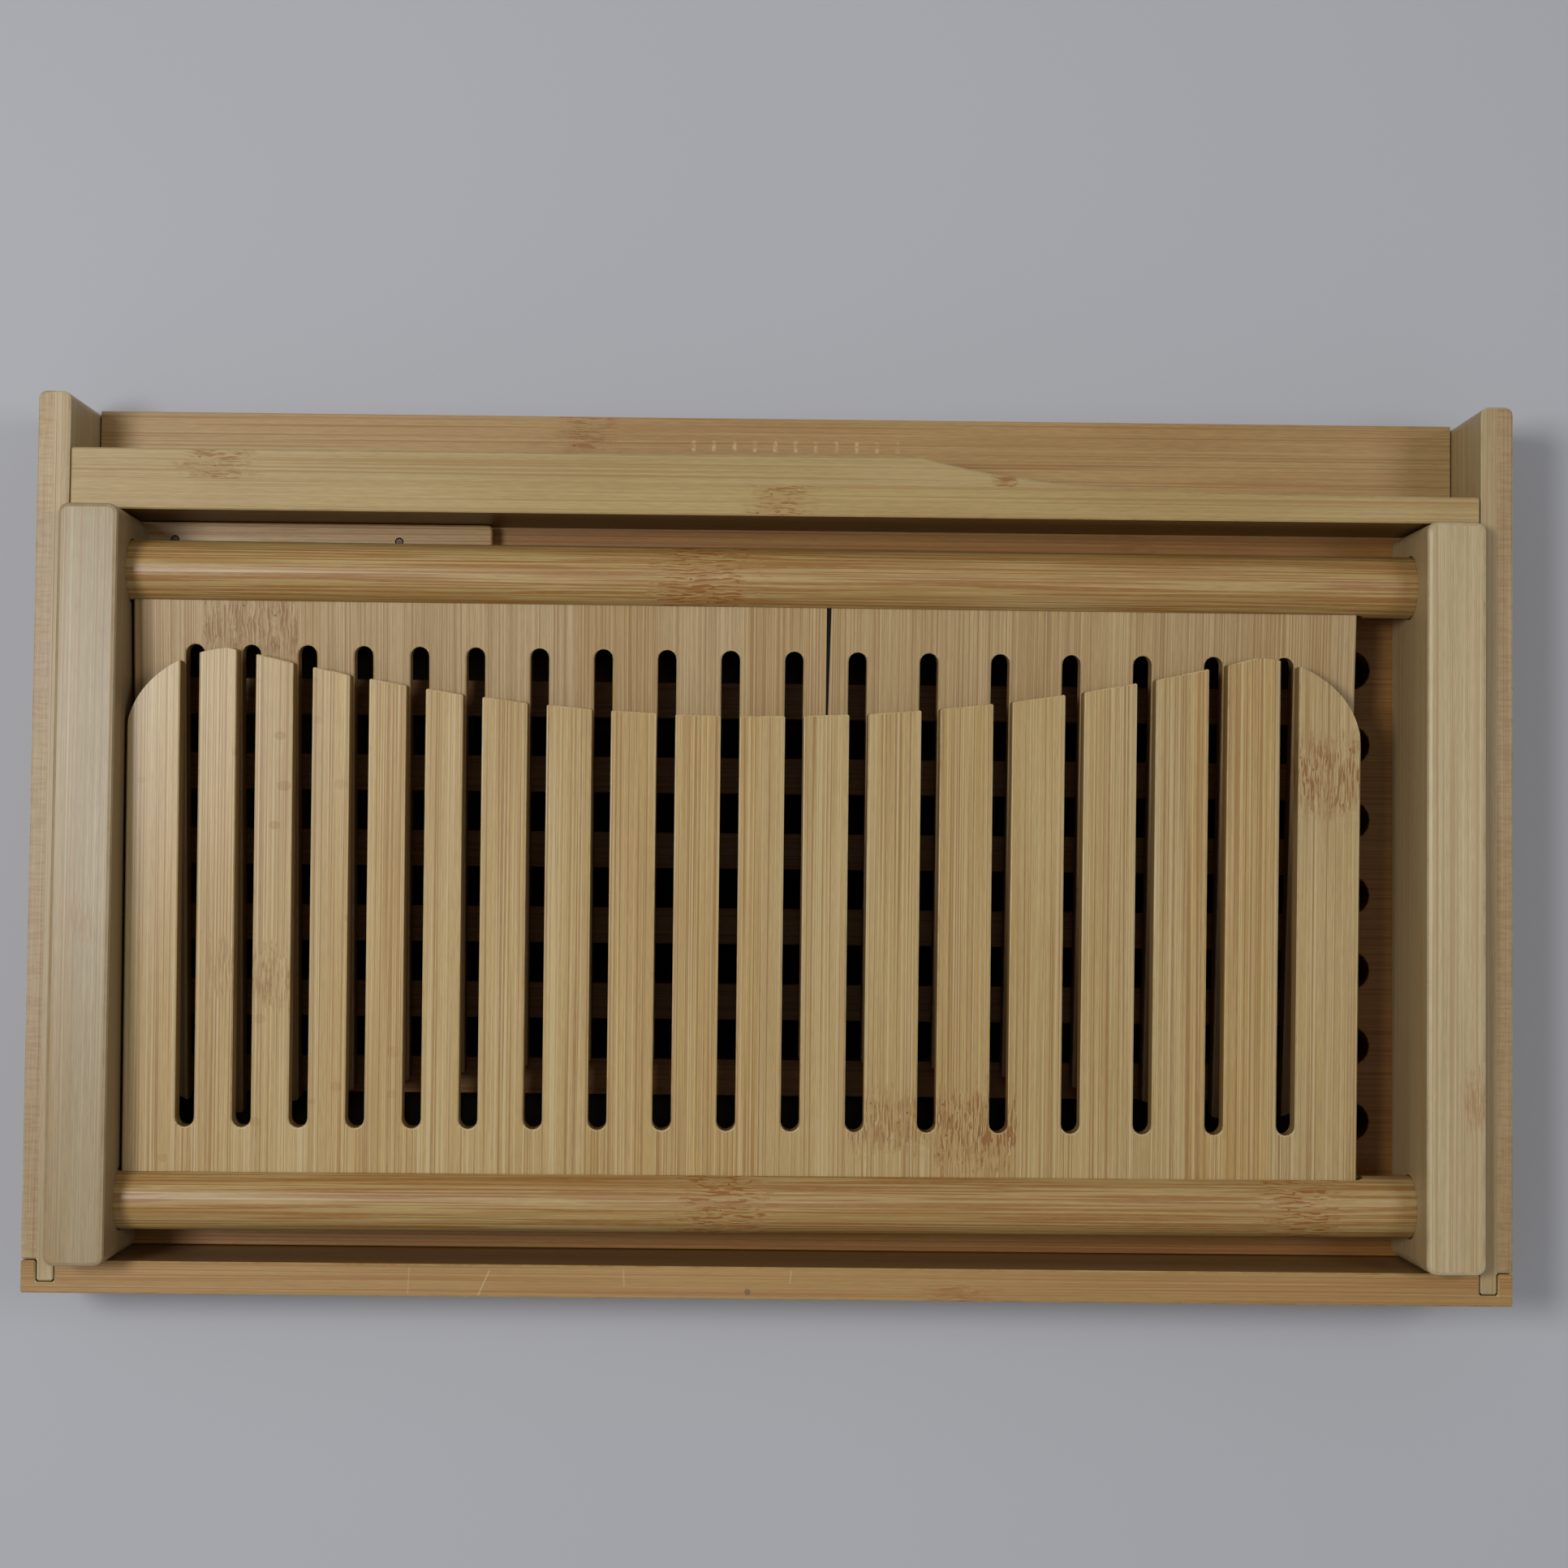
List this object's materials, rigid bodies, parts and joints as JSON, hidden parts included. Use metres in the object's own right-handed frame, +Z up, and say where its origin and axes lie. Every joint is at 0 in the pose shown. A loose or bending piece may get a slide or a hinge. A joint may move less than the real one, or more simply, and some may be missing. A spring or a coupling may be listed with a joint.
{
  "type": "bread slicing guide",
  "caption": "Folding bamboo bread slicing guide: slotted comb leaves hinged on dowels between end bars, folded flat in a walled tray with a slotted deck and a knife ledge",
  "frame": {"origin": "middle of the footprint, on the surface the tray stands on", "axes": "+X along the dowels towards the thin end of the divider, +Y towards the knife ledge, +Z up"},
  "size_m": [0.369, 0.224, 0.0521],
  "materials": {
    "deck": "oiled bamboo, satin",
    "walls": "oiled bamboo, satin",
    "divider": "oiled bamboo, satin",
    "cleat": "oiled bamboo, satin",
    "pins": "dark end grain",
    "bars": "oiled bamboo, satin",
    "dowels": "oiled bamboo, satin, streaked",
    "combs": "oiled bamboo, satin"
  },
  "bodies": {
    "tray": {"base_board": "deck", "front_wall": "walls", "left_side_wall": "walls", "right_side_wall": "walls", "knife_divider": "divider", "cleat": "cleat", "cleat_pin_left": "pins", "cleat_pin_right": "pins"},
    "slicer_frame": {"left_end_bar": "bars", "right_end_bar": "bars"},
    "front_comb_leaf": {"front_comb": "combs", "front_dowel": "dowels"},
    "back_comb_leaf": {"back_comb": "combs", "back_dowel": "dowels"}
  },
  "joints": [
    {"name": "unit_lift", "type": "slide", "parent": "tray", "child": "slicer_frame", "axis": [0, 0, 1], "range_m": [0, 0.06]},
    {"name": "front_comb_hinge", "type": "hinge", "parent": "slicer_frame", "child": "front_comb_leaf", "pos_m": [0, -0.0888, 0.03119], "axis": [0.9998, 0, -0.0193], "range_deg": [0, 136]},
    {"name": "back_comb_hinge", "type": "hinge", "parent": "slicer_frame", "child": "back_comb_leaf", "pos_m": [0, 0.0674, 0.03119], "axis": [-0.9998, 0, 0.0193], "range_deg": [0, 144.5]}
  ],
  "couplings": [
    {"joint": "back_comb_hinge", "follows": "front_comb_hinge", "ratio": 0.22}
  ]
}
